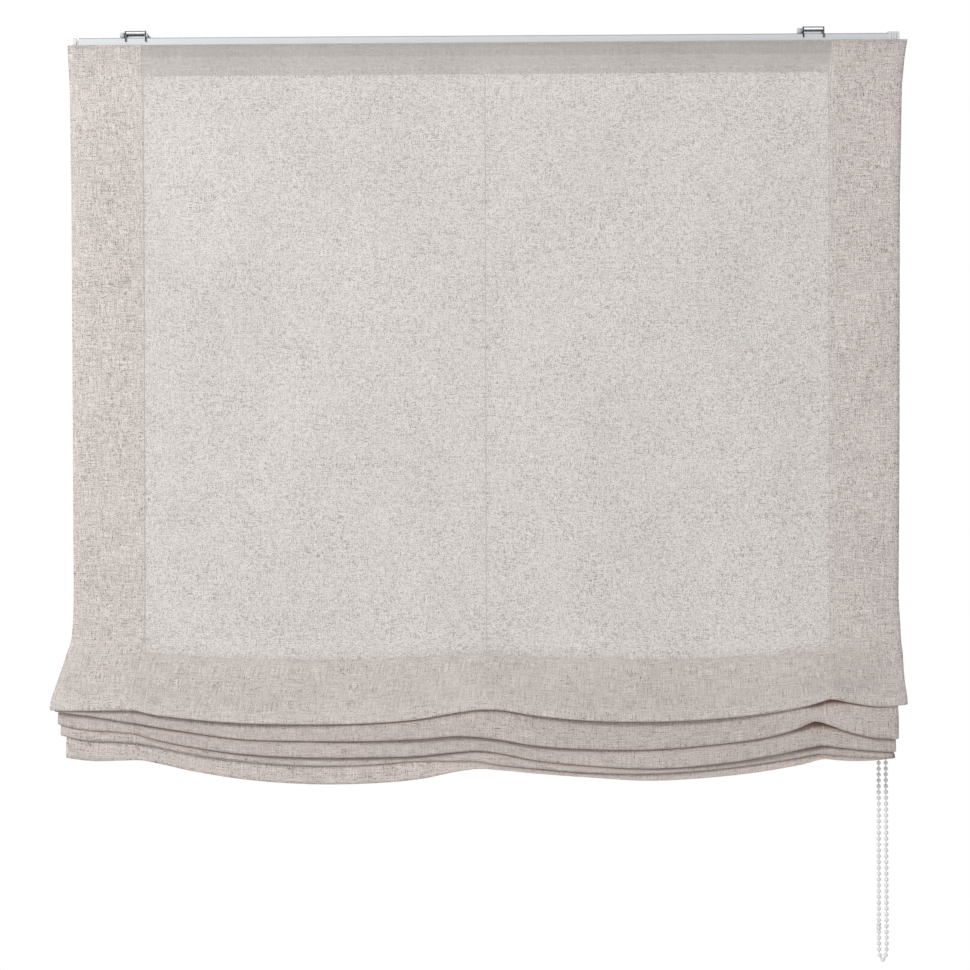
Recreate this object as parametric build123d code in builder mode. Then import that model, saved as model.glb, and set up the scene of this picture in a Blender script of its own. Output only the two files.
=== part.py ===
"""Roman blind on a chain-driven headrail, drawn part-way up.

The frame's origin is on the ceiling, midway between the two bracket screws.
+X points right as seen from the room, -Y points into the room and +Z up.
All sizes are in millimetres.
"""

import os
from math import pi, radians, tan

from build123d import *

os.makedirs("parts", exist_ok=True)

# Driving dimensions: headrail
BLIND_X = 11.5  # middle of the blind, from midway between the brackets
BLIND_LENGTH = 850.0  # over the end cap and the drive unit
RAIL_DEPTH = 35.0
RAIL_HEIGHT = 33.0
RAIL_WALL = 1.4
RAIL_DROP = 7.0  # ceiling to the rail's top
TOP_LIP = 3.5  # each lip of the bracket groove
GROOVE_DEPTH = 4.0
BOTTOM_LIP = 3.4  # each lip of the mouth below
RAIL_CORNER = 0.8
CAP_THICKNESS = 3.0
CAP_NECK = 3.0  # shadow gap between the left cap and the rail
CAP_PLUG = 8.0
CAP_WALL = 1.6
PLUG_CLEARANCE = 0.2

# Driving dimensions: brackets
BRACKET_INSET = 76.5  # screws from the blind's ends, before BLIND_X shifts it
BRACKET_WIDTH = 22.0
BRACKET_SHEET = 1.6
BRACKET_CURL = 4.4  # height of the rolled front edge
BRACKET_BEND = 1.3  # radius on the sheet's centreline
SCREW_HOLE = 4.6
SCREW_HEAD = 8.4
PIVOT_BACK = 9.0  # pivot behind the screw
PIVOT_DIAMETER = 4.8
LEVER_HUB = 9.2
LEVER_REACH = 23.0
LEVER_WIDTH = 7.0
LEVER_TAB = 6.2
CAM_REACH = 6.8
CAM_LOBE = 7.2
LEFT_LEVER_SWING = 35.0  # degrees already swung towards the wall

# Driving dimensions: drive and lift
SHAFT_SIZE = 6.0
CORD_DIAMETER = 1.4
CORD_INSET = 72.0  # outer cords from the blind's ends
SPOOL_RADIUS = 9.0  # to the middle of the wound cord
SPOOL_FLANGE = 10.6
SPOOL_LENGTH = 18.0
FLANGE_THICKNESS = 1.2
HUB_RADIUS = 5.0
HUB_LENGTH = 3.0
CRADLE_SHEET = 2.0
CRADLE_BASE = 1.4
WOUND_TURNS = 8
RUNNING_CLEARANCE = 0.15
SIDE_CLEARANCE = 0.4
AXIS_DROP = 26.0  # ceiling to the drive shaft

# Driving dimensions: chain
BEAD_PITCH = 6.0
BEAD_DIAMETER = 4.5
CHAIN_CORD = 1.2
SPROCKET_TEETH = 10
SPROCKET_WIDTH = 6.8
SPROCKET_INSET = 15.0  # sprocket's middle from the blind's right end
UNIT_FACE = 11.0  # part of the drive unit outside the rail
UNIT_BLOCK = 10.0  # bearing block inside the rail
UNIT_RIDGES = 3
CHAIN_DROP = 934.0  # sprocket axis to the loop's lowest point
CHAIN_SPREAD = 7.7  # between the two strands at the bottom
CHAIN_GAP = 1.0  # between the cord's ends on top of the sprocket
BEAD_SIDES = 4
BEAD_LENGTH = 4.2
BEAD_TAPER = 34.0
JOINER_DIAMETER = 4.9
JOINER_SHARE = 0.48  # the joiner's place along the loop

# Driving dimensions: cloth
CLOTH = 0.6
CLOTH_OVERLAP = 3.0  # past each end of the headrail
CLOTH_DROP = 12.0  # ceiling to the cloth's top edge
STRIP_HEIGHT = 16.0
STRIP_THICKNESS = 1.2
ROW_PITCH = 150.0  # between ring rows along the cloth
GATHER_DROP = 627.5  # ceiling to the top gathered ring row
GATHER_STEP = 15.5
FLAT_ROWS = 3
GATHERED_ROWS = 5
FOLD_DROP = (693.0, 711.0, 726.0, 740.0, 751.0)  # lower edges at the cords; the last is the hem
FOLD_SAG = (14.0, 17.0, 20.0, 17.0, 21.0)  # how much lower they hang between the cords
FOLD_OUT = (56.0, 38.0, 28.0, 24.0, 8.0)  # how far they stand out from the flat cloth
GATHER_SAG = 8.0
FOLD_NOSE = 5.0  # width of a fold's rounded lower edge
FOLD_TACK = 4.0  # height of the cloth held at a ring
FOLD_TUCK = 3.4  # depth of the cloth gathered above a ring
NOSE_BEND = 1.4  # inside a lower edge
TUCK_BEND = 0.4  # inside a gathered edge
BAY_STATIONS = 7
SEAM_STEP = 1.0

# Driving dimensions: rings and stops
RING_DIAMETER = 14.0
RING_WIRE = 2.4
STOP_DIAMETER = 9.0
STOP_HEIGHT = 12.0
RING_GAP = 0.1

# Places that follow from them
blind_left = BLIND_X - BLIND_LENGTH / 2
blind_right = BLIND_X + BLIND_LENGTH / 2
bracket_spacing = BLIND_LENGTH - 2 * BRACKET_INSET
lift_spacing = BLIND_LENGTH / 2 - CORD_INSET
rail_left = blind_left + CAP_THICKNESS + CAP_NECK
rail_right = blind_right - UNIT_FACE
rail_length = rail_right - rail_left
rail_top = -RAIL_DROP
rail_bottom = rail_top - RAIL_HEIGHT
rail_middle = (rail_top + rail_bottom) / 2
groove_floor = rail_top - GROOVE_DEPTH
room_top = groove_floor - RAIL_WALL
room_bottom = rail_bottom + RAIL_WALL
room_width = RAIL_DEPTH - 2 * RAIL_WALL
cloth_back = -RAIL_DEPTH / 2 - 2 * STRIP_THICKNESS
ring_y = cloth_back + RING_GAP + RING_DIAMETER / 2
cord_y = ring_y
axis_y = cord_y + SPOOL_RADIUS
axis_z = -AXIS_DROP
sprocket_x = blind_right - SPROCKET_INSET
sprocket_radius = SPROCKET_TEETH * BEAD_PITCH / (2 * pi)
lift_xs = [BLIND_X - lift_spacing, BLIND_X, BLIND_X + lift_spacing]
sides = ["left", "centre", "right"]


def block(x0, x1, y0, y1, z0, z1, mode=Mode.ADD):
    """A box between two corners, inside the part that is being built."""
    with Locations(((x0 + x1) / 2, (y0 + y1) / 2, (z0 + z1) / 2)):
        Box(x1 - x0, y1 - y0, z1 - z0, mode=mode)


def keep(part, name):
    """Label a finished piece and write it."""
    part.label = name
    export_step(part, f"parts/{name}.step")


# Headrail: one extrusion with a groove for the brackets above and a mouth below
with BuildPart() as headrail:
    with BuildSketch(Plane.YZ.offset(rail_left)):
        with Locations((0, rail_middle)):
            RectangleRounded(RAIL_DEPTH, RAIL_HEIGHT, RAIL_CORNER)
        with Locations((0, (rail_top + groove_floor) / 2)):
            Rectangle(RAIL_DEPTH - 2 * TOP_LIP, GROOVE_DEPTH, mode=Mode.SUBTRACT)
        with Locations((0, (rail_top - RAIL_WALL + groove_floor) / 2)):
            Rectangle(room_width, GROOVE_DEPTH - RAIL_WALL, mode=Mode.SUBTRACT)
        with Locations((0, (room_top + room_bottom) / 2)):
            Rectangle(room_width, room_top - room_bottom, mode=Mode.SUBTRACT)
        with Locations((0, rail_bottom + RAIL_WALL / 2)):
            Rectangle(RAIL_DEPTH - 2 * BOTTOM_LIP, RAIL_WALL, mode=Mode.SUBTRACT)
    extrude(amount=rail_length)
    # The lips are notched where the chain leaves
    chain_notch = SPROCKET_WIDTH / 2 + SIDE_CLEARANCE
    block(
        sprocket_x - chain_notch,
        rail_right,
        -room_width / 2,
        room_width / 2,
        rail_bottom,
        room_bottom,
        mode=Mode.SUBTRACT,
    )
keep(headrail.part, "headrail")

# Left end cap: a face plate, a neck and a hollow plug
with BuildPart() as end_cap:
    with BuildSketch(Plane.YZ.offset(blind_left)):
        with Locations((0, rail_middle)):
            RectangleRounded(RAIL_DEPTH, RAIL_HEIGHT, RAIL_CORNER)
    extrude(amount=CAP_THICKNESS)
    plug_width = room_width - 2 * PLUG_CLEARANCE
    plug_height = room_top - room_bottom - 2 * PLUG_CLEARANCE
    with BuildSketch(Plane.YZ.offset(blind_left + CAP_THICKNESS)):
        with Locations((0, (room_top + room_bottom) / 2)):
            Rectangle(plug_width, plug_height)
            Rectangle(plug_width - 2 * CAP_WALL, plug_height - 2 * CAP_WALL, mode=Mode.SUBTRACT)
    extrude(amount=CAP_NECK + CAP_PLUG)
    fillet(end_cap.faces().sort_by(Axis.X)[0].edges(), RAIL_CORNER / 2)
keep(end_cap.part, "end_cap")

# Drive unit: bearing block, open chamber for the sprocket and the end face, in one moulding
bearing_radius = HUB_RADIUS + RUNNING_CLEARANCE
chamber_left = sprocket_x - chain_notch
wheel_space = sprocket_radius + BEAD_DIAMETER / 2 + SIDE_CLEARANCE
unit_side = room_width / 2 - PLUG_CLEARANCE
unit_top = room_top - PLUG_CLEARANCE
unit_bottom = room_bottom + PLUG_CLEARANCE
with BuildPart() as drive_unit:
    block(chamber_left - UNIT_BLOCK, rail_right, -unit_side, unit_side, unit_bottom, unit_top)
    with BuildSketch(Plane.YZ.offset(rail_right)):
        with Locations((0, rail_middle)):
            RectangleRounded(RAIL_DEPTH, RAIL_HEIGHT, RAIL_CORNER)
    extrude(amount=UNIT_FACE)
    # Chamber round the wheel, open below and towards the room
    block(
        chamber_left,
        rail_right,
        -unit_side,
        axis_y + wheel_space,
        unit_bottom,
        axis_z + wheel_space,
        mode=Mode.SUBTRACT,
    )
    # One bore through the block and into the face carries both hubs of the sprocket
    with BuildSketch(Plane.YZ.offset(chamber_left - UNIT_BLOCK)):
        with Locations((axis_y, axis_z)):
            Circle(bearing_radius)
    extrude(amount=UNIT_BLOCK + rail_right + HUB_LENGTH + SIDE_CLEARANCE - chamber_left, mode=Mode.SUBTRACT)
    # Grip ridges on the room side of the end face
    ridge_pitch = UNIT_FACE / (UNIT_RIDGES + 1)
    ridge_groove = ridge_pitch / 3
    for i in range(UNIT_RIDGES):
        x = rail_right + (i + 1) * ridge_pitch
        block(
            x - ridge_groove / 2,
            x + ridge_groove / 2,
            -RAIL_DEPTH / 2,
            -RAIL_DEPTH / 2 + ridge_groove,
            rail_bottom,
            rail_top,
            mode=Mode.SUBTRACT,
        )
    fillet(drive_unit.faces().sort_by(Axis.X)[-1].edges(), RAIL_CORNER / 2)
keep(drive_unit.part, "drive_unit")

# Drive shaft: a square bar from the left spool into the sprocket
shaft_left = lift_xs[0] - SPOOL_LENGTH / 2 - HUB_LENGTH
with BuildPart() as drive_shaft:
    with BuildSketch(Plane.YZ.offset(shaft_left)):
        with Locations((axis_y, axis_z)):
            RectangleRounded(SHAFT_SIZE, SHAFT_SIZE, RAIL_CORNER)
    extrude(amount=sprocket_x + SPROCKET_WIDTH / 2 - shaft_left)
keep(drive_shaft.part, "drive_shaft")

# Sprocket: two rims, with a pocket for each bead between them
shaft_bore = SHAFT_SIZE + 2 * RUNNING_CLEARANCE
pocket_radius = BEAD_DIAMETER / 2 + RUNNING_CLEARANCE
with BuildPart() as sprocket:
    wheel_left = sprocket_x - SPROCKET_WIDTH / 2
    with BuildSketch(Plane.YZ.offset(wheel_left)):
        with Locations((axis_y, axis_z)):
            Circle(sprocket_radius)
    extrude(amount=SPROCKET_WIDTH)
    with BuildSketch(Plane.YZ.offset(sprocket_x - pocket_radius)):
        with Locations((axis_y, axis_z)):
            with PolarLocations(sprocket_radius, SPROCKET_TEETH, start_angle=90 + 180 / SPROCKET_TEETH):
                Circle(pocket_radius)
    extrude(amount=2 * pocket_radius, mode=Mode.SUBTRACT)
    # A groove round the rim clears the chain's cord
    cord_groove = CHAIN_CORD / 2 + RUNNING_CLEARANCE
    with BuildSketch(Plane.YZ.offset(sprocket_x - cord_groove)):
        with Locations((axis_y, axis_z)):
            Circle(2 * sprocket_radius)
            Circle(sprocket_radius - cord_groove, mode=Mode.SUBTRACT)
    extrude(amount=2 * cord_groove, mode=Mode.SUBTRACT)
    with BuildSketch(Plane.YZ.offset(wheel_left - UNIT_BLOCK)):
        with Locations((axis_y, axis_z)):
            Circle(HUB_RADIUS)
    extrude(amount=UNIT_BLOCK + SPROCKET_WIDTH + SIDE_CLEARANCE + HUB_LENGTH)
    with BuildSketch(Plane.YZ.offset(wheel_left - UNIT_BLOCK)):
        with Locations((axis_y, axis_z)):
            Rectangle(shaft_bore, shaft_bore)
    extrude(amount=UNIT_BLOCK + SPROCKET_WIDTH + RUNNING_CLEARANCE, mode=Mode.SUBTRACT)
keep(sprocket.part, "sprocket")

# Spools and their cradles, one pair for each lift cord
base_top = room_bottom + CRADLE_BASE
upright = SPOOL_LENGTH / 2 + SIDE_CLEARANCE
drum_radius = SPOOL_RADIUS - CORD_DIAMETER / 2
for side, x in zip(sides, lift_xs):
    with BuildPart() as spool:
        with BuildSketch(Plane.YZ.offset(x - SPOOL_LENGTH / 2 - HUB_LENGTH)):
            with Locations((axis_y, axis_z)):
                Circle(HUB_RADIUS)
        extrude(amount=SPOOL_LENGTH + 2 * HUB_LENGTH)
        with BuildSketch(Plane.YZ.offset(x - SPOOL_LENGTH / 2)):
            with Locations((axis_y, axis_z)):
                Circle(drum_radius)
        extrude(amount=SPOOL_LENGTH)
        for start in (x - SPOOL_LENGTH / 2, x + SPOOL_LENGTH / 2 - FLANGE_THICKNESS):
            with BuildSketch(Plane.YZ.offset(start)):
                with Locations((axis_y, axis_z)):
                    Circle(SPOOL_FLANGE)
            extrude(amount=FLANGE_THICKNESS)
        with BuildSketch(Plane.YZ.offset(x - SPOOL_LENGTH / 2 - HUB_LENGTH)):
            with Locations((axis_y, axis_z)):
                Rectangle(shaft_bore, shaft_bore)
        extrude(amount=SPOOL_LENGTH + 2 * HUB_LENGTH, mode=Mode.SUBTRACT)
    keep(spool.part, f"spool_{side}")

    with BuildPart() as cradle:
        half = upright + CRADLE_SHEET
        block(x - half, x + half, -unit_side, unit_side, room_bottom, base_top)
        key = RAIL_DEPTH / 2 - BOTTOM_LIP - PLUG_CLEARANCE
        block(x - half / 2, x + half / 2, -key, key, rail_bottom, room_bottom)
        for start in (x - half, x + upright):
            with BuildSketch(Plane.YZ.offset(start)):
                with BuildLine():
                    Polyline(
                        (-unit_side, base_top),
                        (unit_side, base_top),
                        (axis_y + SPOOL_FLANGE, unit_top),
                        (axis_y - HUB_RADIUS, unit_top),
                        close=True,
                    )
                make_face()
                with Locations((axis_y, axis_z)):
                    Circle(bearing_radius, mode=Mode.SUBTRACT)
            extrude(amount=CRADLE_SHEET)
        with Locations((x, cord_y, rail_bottom)):
            Cylinder(CORD_DIAMETER, 4 * CRADLE_BASE, mode=Mode.SUBTRACT)
    keep(cradle.part, f"cradle_{side}")

# Brackets: one strip of sheet with a rolled front edge and a hook under the rail's lip
sheet_middle = -BRACKET_SHEET / 2
hook_z = rail_top - RAIL_WALL - PLUG_CLEARANCE - BRACKET_SHEET / 2
curl_front = -RAIL_DEPTH / 2 - BRACKET_SHEET / 2
curl_low = -BRACKET_CURL + BRACKET_SHEET / 2
leg_y = -RAIL_DEPTH / 2 + TOP_LIP + PLUG_CLEARANCE + BRACKET_SHEET / 2
hook_front = -RAIL_DEPTH / 2 + RAIL_WALL + PLUG_CLEARANCE
guard = RAIL_WALL
lever_top = -BRACKET_SHEET - PLUG_CLEARANCE
lever_bottom = rail_top + SIDE_CLEARANCE
cam_top = rail_top - RAIL_WALL - PLUG_CLEARANCE
cam_bottom = cam_top - BRACKET_SHEET
head_bottom = groove_floor + PLUG_CLEARANCE
swings = {"left": LEFT_LEVER_SWING, "right": 0.0}
bracket_xs = {"left": -bracket_spacing / 2, "right": bracket_spacing / 2}
for side, x in bracket_xs.items():
    with BuildPart() as bracket:
        with BuildSketch(Plane.YZ.offset(x - BRACKET_WIDTH / 2)) as strip:
            with BuildLine() as middle:
                FilletPolyline(
                    (RAIL_DEPTH / 2, sheet_middle),
                    (curl_front, sheet_middle),
                    (curl_front, curl_low),
                    (leg_y, curl_low),
                    (leg_y, hook_z),
                    (hook_front, hook_z),
                    radius=BRACKET_BEND,
                )
            trace(middle.line, BRACKET_SHEET)
        extrude(amount=BRACKET_WIDTH)
        # Two guards reach down in front of the rail
        for start in (x - BRACKET_WIDTH / 2, x + BRACKET_WIDTH / 2 - guard):
            block(
                start,
                start + guard,
                curl_front - BRACKET_SHEET / 2,
                -RAIL_DEPTH / 2 - SIDE_CLEARANCE,
                groove_floor,
                curl_low,
            )
        with Locations((x, 0, 0)):
            Cylinder(SCREW_HOLE / 2, 3 * BRACKET_SHEET, mode=Mode.SUBTRACT)
        with Locations((x, 0, -BRACKET_SHEET * 3 / 4)):
            Cone(
                SCREW_HEAD / 2,
                SCREW_HOLE / 2,
                BRACKET_SHEET / 2,
                mode=Mode.SUBTRACT,
            )
        with Locations((x, PIVOT_BACK, 0)):
            Cylinder(PIVOT_DIAMETER / 2 + RUNNING_CLEARANCE, 3 * BRACKET_SHEET, mode=Mode.SUBTRACT)
    keep(bracket.part, f"bracket_{side}")

    # Lever: a hub with a cam below, and an arm that ends in a ramped thumb tab
    pivot = Plane((x, PIVOT_BACK, 0)).rotated((0, 0, -swings[side]))
    with BuildPart(pivot) as lever:
        with BuildSketch(pivot.offset(cam_bottom)):
            Circle(LEVER_HUB / 2)
        extrude(amount=lever_top - cam_bottom)
        with BuildSketch(pivot.offset(cam_bottom)):
            with Locations((0, CAM_REACH - CAM_LOBE / 2)):
                Circle(CAM_LOBE / 2)
        extrude(amount=BRACKET_SHEET)
        tab_start = -LEVER_REACH + 2 * LEVER_TAB
        with BuildSketch(Plane(pivot.origin, x_dir=pivot.x_dir, z_dir=-pivot.y_dir)):
            with BuildLine():
                Polyline(
                    (0, lever_bottom),
                    (-LEVER_REACH, lever_bottom),
                    (-LEVER_REACH + LEVER_TAB, lever_top),
                    (tab_start, lever_top),
                    (tab_start, lever_bottom + BRACKET_SHEET),
                    (0, lever_bottom + BRACKET_SHEET),
                    close=True,
                )
            make_face()
        extrude(amount=LEVER_WIDTH / 2, both=True)
        with BuildSketch(pivot.offset(cam_bottom)):
            Circle(PIVOT_DIAMETER / 2 + RUNNING_CLEARANCE)
        extrude(amount=lever_top - cam_bottom, mode=Mode.SUBTRACT)
    keep(lever.part, f"lever_{side}")

    with BuildPart() as rivet:
        with BuildSketch(Plane.XY.offset(head_bottom)):
            with Locations((x, PIVOT_BACK)):
                Circle(PIVOT_DIAMETER / 2)
        extrude(amount=-head_bottom)
        with BuildSketch(Plane.XY.offset(head_bottom)):
            with Locations((x, PIVOT_BACK)):
                Circle(PIVOT_DIAMETER * 3 / 4)
        extrude(amount=cam_bottom - head_bottom - RUNNING_CLEARANCE / 2)
    keep(rivet.part, f"rivet_{side}")

# Hook-and-loop strips: the hook strip is stuck to the rail, the loop strip is sewn to the cloth
strip_names = ["hook_strip", "loop_strip"]
for i, name in enumerate(strip_names):
    front = -RAIL_DEPTH / 2 - i * STRIP_THICKNESS
    with BuildPart() as band:
        block(
            rail_left,
            rail_right,
            front - STRIP_THICKNESS,
            front,
            -CLOTH_DROP - STRIP_HEIGHT,
            -CLOTH_DROP,
        )
    keep(band.part, name)


def bay(x):
    """0 at a lift cord and outside the outer ones, 1 midway between two cords."""
    across = abs(x - BLIND_X)
    if across >= lift_spacing:
        return 0.0
    share = across / lift_spacing
    return 4 * share * (1 - share)


def fold_path(x):
    """The back of the cloth at x as (y, z) corners, from the top edge to the hem."""
    sag = bay(x)
    drops = [drop + extra * sag for drop, extra in zip(FOLD_DROP, FOLD_SAG)]
    rings = [GATHER_DROP + i * GATHER_STEP + GATHER_SAG * sag for i in range(GATHERED_ROWS)]
    out, low = FOLD_OUT[0], drops[0]
    start = rings[0] + FOLD_TACK / 2
    # The front panel bells out over the folds behind it
    points = [
        (0, CLOTH_DROP),
        (0, start),
        (0.20 * out, start + 0.17 * (low - start)),
        (0.56 * out, start + 0.57 * (low - start)),
        (0.93 * out, start + 0.84 * (low - start)),
        (out, low),
        (out - FOLD_NOSE, low),
        (0.5 * out, low - 0.23 * (low - start)),
    ]
    for ring, out, low in zip(rings[1:], FOLD_OUT[1:], drops[1:]):
        points += [(FOLD_TUCK, ring - FOLD_TACK / 2), (0, ring - FOLD_TACK / 2)]
        points += [(0, ring + FOLD_TACK / 2), (out, low)]
        if low != drops[-1]:
            points.append((out - FOLD_NOSE, low))
    return [(cloth_back - out, -drop) for out, drop in points]


def cloth_section(x, thickness):
    """One section across the folded cloth: its back, its front and the two cut edges."""
    path = [Vector(*corner) for corner in fold_path(x)]
    runs = [(after - before).normalized() for before, after in zip(path, path[1:])]
    facing = [Vector(run.Y, -run.X) for run in runs]
    shifted = [path[0] + facing[0] * thickness]
    back_radii = []
    front_radii = []
    for corner, into, away, a, b in zip(path[1:], runs, runs[1:], facing, facing[1:]):
        shifted.append(corner + (a + b) * (thickness / (1 + a.dot(b))))
        turns_back = into.cross(away).Z > 0
        back_radii.append(NOSE_BEND if turns_back else TUCK_BEND + thickness)
        front_radii.append(NOSE_BEND + thickness if turns_back else TUCK_BEND)
    shifted.append(path[-1] + facing[-1] * thickness)
    with BuildSketch(Plane.YZ.offset(x)) as section:
        with BuildLine():
            FilletPolyline(*path, radius=back_radii)
            FilletPolyline(*shifted, radius=front_radii)
            Line(path[0], shifted[0])
            Line(path[-1], shifted[-1])
        make_face()
    return section.sketch


# Cloth: one sheet that falls flat and then hangs in four folds
# Each side is turned in as far as the outer cord, where the hem's seam carries the rings
cloth_left = blind_left - CLOTH_OVERLAP
cloth_right = blind_right + CLOTH_OVERLAP
seam_left = lift_xs[0]
seam_right = lift_xs[-1]
hem = 2 * CLOTH
stations = [(cloth_left, hem), (seam_left, hem), (seam_left + SEAM_STEP, CLOTH)]
for i in range(-BAY_STATIONS, BAY_STATIONS + 1):
    x = BLIND_X + lift_spacing * i / (BAY_STATIONS + 1)
    stations.append((x, CLOTH))
stations += [(seam_right - SEAM_STEP, CLOTH), (seam_right, hem), (cloth_right, hem)]
with BuildPart() as fabric:
    loft([cloth_section(x, thickness) for x, thickness in stations], ruled=True)
keep(fabric.part, "fabric")

# Rings: one on each cord in every row, three rows in the flat cloth and five gathered
flat_rows = [GATHER_DROP - ROW_PITCH * (FLAT_ROWS - i) for i in range(FLAT_ROWS)]
gathered_rows = [GATHER_DROP + GATHER_STEP * i for i in range(GATHERED_ROWS)]
for number, drop in enumerate(flat_rows + gathered_rows, start=1):
    with BuildPart() as ring_row:
        with Locations(*[(x, ring_y, -drop) for x in lift_xs]):
            Torus((RING_DIAMETER - RING_WIRE) / 2, RING_WIRE / 2)
    keep(ring_row.part, f"ring_row_{number}")

# Lift cords: wound on the spool, straight down through the rings into a stop
stop_top = -(gathered_rows[-1] + RING_WIRE / 2 + RING_GAP)
stop_bottom = stop_top - STOP_HEIGHT
cord_end = stop_top - STOP_HEIGHT * 3 / 4
wound_width = WOUND_TURNS * CORD_DIAMETER
for side, x in zip(sides, lift_xs):
    with BuildPart() as lift_cord:
        with BuildSketch(Plane.XY.offset(cord_end)):
            with Locations((x, cord_y)):
                Circle(CORD_DIAMETER / 2)
        extrude(amount=axis_z - cord_end)
        with BuildSketch(Plane.YZ.offset(x - wound_width / 2)):
            with Locations((axis_y, axis_z)):
                Circle(SPOOL_RADIUS + CORD_DIAMETER / 2)
                Circle(drum_radius + RUNNING_CLEARANCE / 3, mode=Mode.SUBTRACT)
        extrude(amount=wound_width)
    keep(lift_cord.part, f"lift_cord_{side}")

    with BuildPart() as cord_stop:
        with BuildSketch(Plane.XY.offset(stop_bottom)):
            with Locations((x, cord_y)):
                Circle(STOP_DIAMETER / 2)
        extrude(amount=STOP_HEIGHT)
        fillet(cord_stop.faces().sort_by(Axis.Z)[0].edges(), STOP_DIAMETER / 5)
        with BuildSketch(Plane.XY.offset(cord_end - RUNNING_CLEARANCE)):
            with Locations((x, cord_y)):
                Circle(CORD_DIAMETER / 2 + RUNNING_CLEARANCE)
        extrude(amount=stop_top - cord_end + RUNNING_CLEARANCE, mode=Mode.SUBTRACT)
    keep(cord_stop.part, f"cord_stop_{side}")


def corner_radii(points):
    """The largest arc that the two runs beside each corner of a route allow."""
    radii = []
    for before, corner, after in zip(points, points[1:], points[2:]):
        into, away = corner - before, after - corner
        turn = radians(into.get_angle(away))
        radii.append(0.45 * min(into.length, away.length) / tan(turn / 2))
    return radii


# Bead chain: the loop turns a quarter on its way down, so both strands show from the room
half_spread = CHAIN_SPREAD / 2
wrap = sprocket_radius - CHAIN_GAP / 2
front_way = [
    (0, -CHAIN_GAP / 2, -sprocket_radius),
    (0, -sprocket_radius, -sprocket_radius),
    (0, -sprocket_radius, 0.06 * CHAIN_DROP),
    (0.20 * half_spread, -0.86 * sprocket_radius, 0.18 * CHAIN_DROP),
    (0.62 * half_spread, -0.52 * sprocket_radius, 0.40 * CHAIN_DROP),
    (0.92 * half_spread, -0.20 * sprocket_radius, 0.62 * CHAIN_DROP),
    (1.00 * half_spread, -0.04 * sprocket_radius, 0.84 * CHAIN_DROP),
    (1.03 * half_spread, 0, 0.965 * CHAIN_DROP),
    (1.00 * half_spread, 0, CHAIN_DROP),
]
route = [Vector(sprocket_x - x, axis_y + y, axis_z - drop) for x, y, drop in front_way]
route += [Vector(sprocket_x + x, axis_y - y, axis_z - drop) for x, y, drop in front_way[::-1]]
radii = corner_radii(route)
radii[0] = radii[-1] = wrap - RUNNING_CLEARANCE  # round the sprocket
print("chain radii", [round(radius, 1) for radius in radii])
with BuildPart() as chain_cord:
    with BuildLine() as loop:
        FilletPolyline(*route, radius=radii)
    thread = loop.wires()[0]
    with BuildSketch(Plane(origin=thread @ 0, z_dir=thread % 0)):
        Circle(CHAIN_CORD / 2)
    sweep()
keep(chain_cord.part, "chain_cord")

# Beads: moulded on the cord one pitch apart, each with flat sides that narrow to its ends
with BuildPart() as bead:
    with BuildSketch():
        RegularPolygon(BEAD_DIAMETER / 2, BEAD_SIDES)
    extrude(amount=BEAD_LENGTH / 2, taper=BEAD_TAPER, both=True)
loop_length = thread.length + CHAIN_GAP
bead_count = round(loop_length / BEAD_PITCH)
joined = round(bead_count * JOINER_SHARE)
bead_step = loop_length / bead_count
places = [((i + 0.5) * bead_step - CHAIN_GAP / 2) / thread.length for i in range(bead_count)]
spots = [thread.location_at(place) for place in places]
joiner_spot = spots.pop(joined)
chain_beads = Compound([bead.part.solid().moved(spot) for spot in spots])
keep(chain_beads, "chain_beads")

# Joiner: a sleeve that takes the place of one bead and closes the loop
with BuildPart(Plane(joiner_spot)) as chain_joiner:
    Cylinder(JOINER_DIAMETER / 2, 2 * BEAD_PITCH - BEAD_LENGTH - 2 * RUNNING_CLEARANCE)
    Cylinder(CHAIN_CORD / 2 + RUNNING_CLEARANCE, 2 * BEAD_PITCH, mode=Mode.SUBTRACT)
keep(chain_joiner.part, "chain_joiner")
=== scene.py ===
"""A roman blind of sheer linen, hanging part-way up under its chain-driven headrail.

Sizes are in millimetres, and MM turns them into Blender's metres.
"""

from math import cos, pi, radians, sin

import bpy
import numpy as np
from mathutils import Matrix, Vector, noise


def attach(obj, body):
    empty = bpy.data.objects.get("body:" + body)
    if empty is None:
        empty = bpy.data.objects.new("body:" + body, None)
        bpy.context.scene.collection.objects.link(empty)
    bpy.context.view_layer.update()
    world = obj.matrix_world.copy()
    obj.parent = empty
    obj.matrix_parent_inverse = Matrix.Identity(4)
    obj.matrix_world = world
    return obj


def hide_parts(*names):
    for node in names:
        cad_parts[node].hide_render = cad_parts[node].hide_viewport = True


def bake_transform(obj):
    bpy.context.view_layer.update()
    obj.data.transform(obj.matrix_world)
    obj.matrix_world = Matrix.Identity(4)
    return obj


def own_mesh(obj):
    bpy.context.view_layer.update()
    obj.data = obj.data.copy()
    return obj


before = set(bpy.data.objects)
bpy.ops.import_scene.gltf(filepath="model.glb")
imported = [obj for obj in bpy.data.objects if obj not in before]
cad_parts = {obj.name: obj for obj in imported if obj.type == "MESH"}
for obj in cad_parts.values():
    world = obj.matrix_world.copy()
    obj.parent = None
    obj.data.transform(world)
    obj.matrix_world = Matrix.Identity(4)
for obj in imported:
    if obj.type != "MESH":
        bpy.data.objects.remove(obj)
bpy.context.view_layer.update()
scene = bpy.context.scene
scene.view_settings.view_transform = "Standard"
MM = 0.001

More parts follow.
